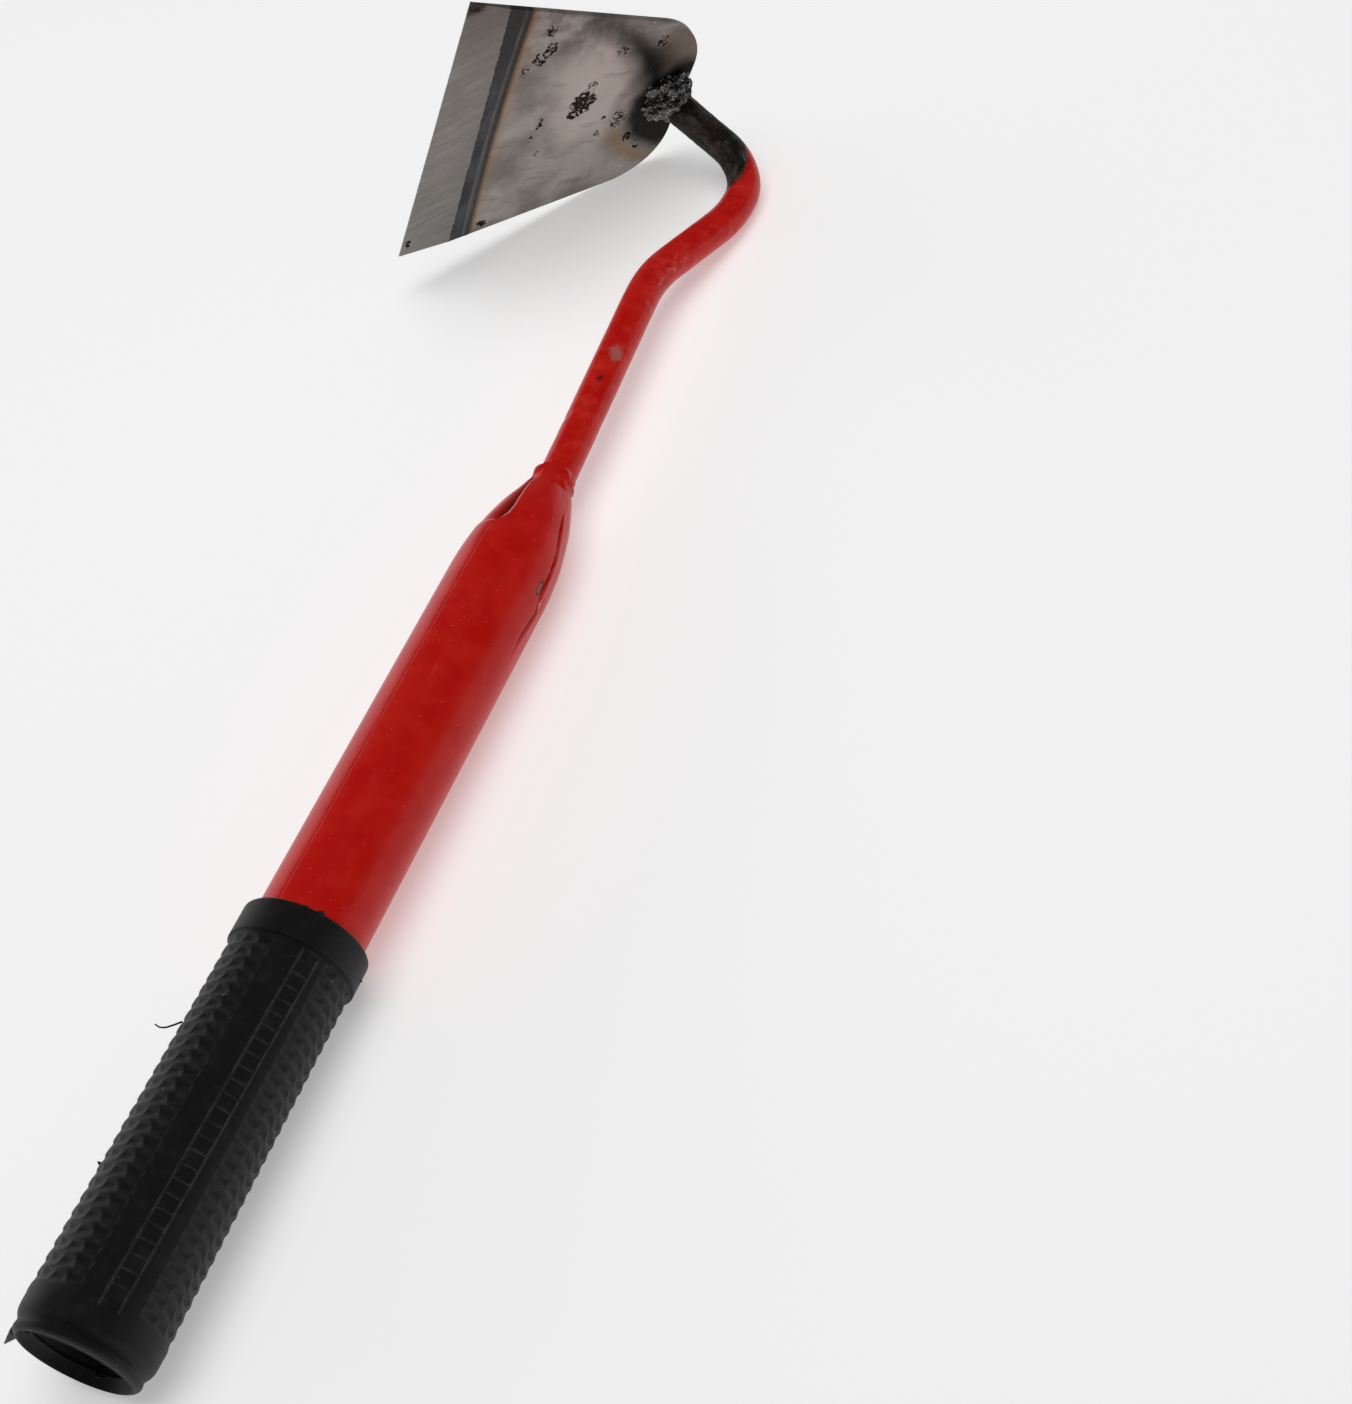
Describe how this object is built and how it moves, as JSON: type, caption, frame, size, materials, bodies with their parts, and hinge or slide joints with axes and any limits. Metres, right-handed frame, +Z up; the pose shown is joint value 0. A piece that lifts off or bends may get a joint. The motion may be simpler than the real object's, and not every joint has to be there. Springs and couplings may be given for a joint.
{
  "type": "draw hoe",
  "caption": "Short-handled draw hoe: a flat steel blade with a ground edge, welded to a bent round bar, on a painted steel tube handle with a black rubber grip.",
  "frame": {"origin": "on the floor, under the middle of the whole tool's box", "axes": "+Y runs along the floor from the grip towards the blade, +X runs across the tool and +Z is up from the floor that the tool lies on; the blade's flat faces lean between them"},
  "size_m": [0.1315, 0.4893, 0.1182],
  "materials": {
    "blade_steel": "satin, with pits and heat marks",
    "weld_slag": "glossy black slag, lumpy",
    "red_paint": "gloss",
    "adhesive": "matte",
    "rubber": "satin"
  },
  "bodies": {
    "root": {"blade": "blade_steel", "blade_weld": "weld_slag", "bent_bar": "red_paint", "neck_weld": "red_paint", "handle_tube": "red_paint", "grip_adhesive": "adhesive", "rubber_grip": "rubber"}
  },
  "joints": []
}
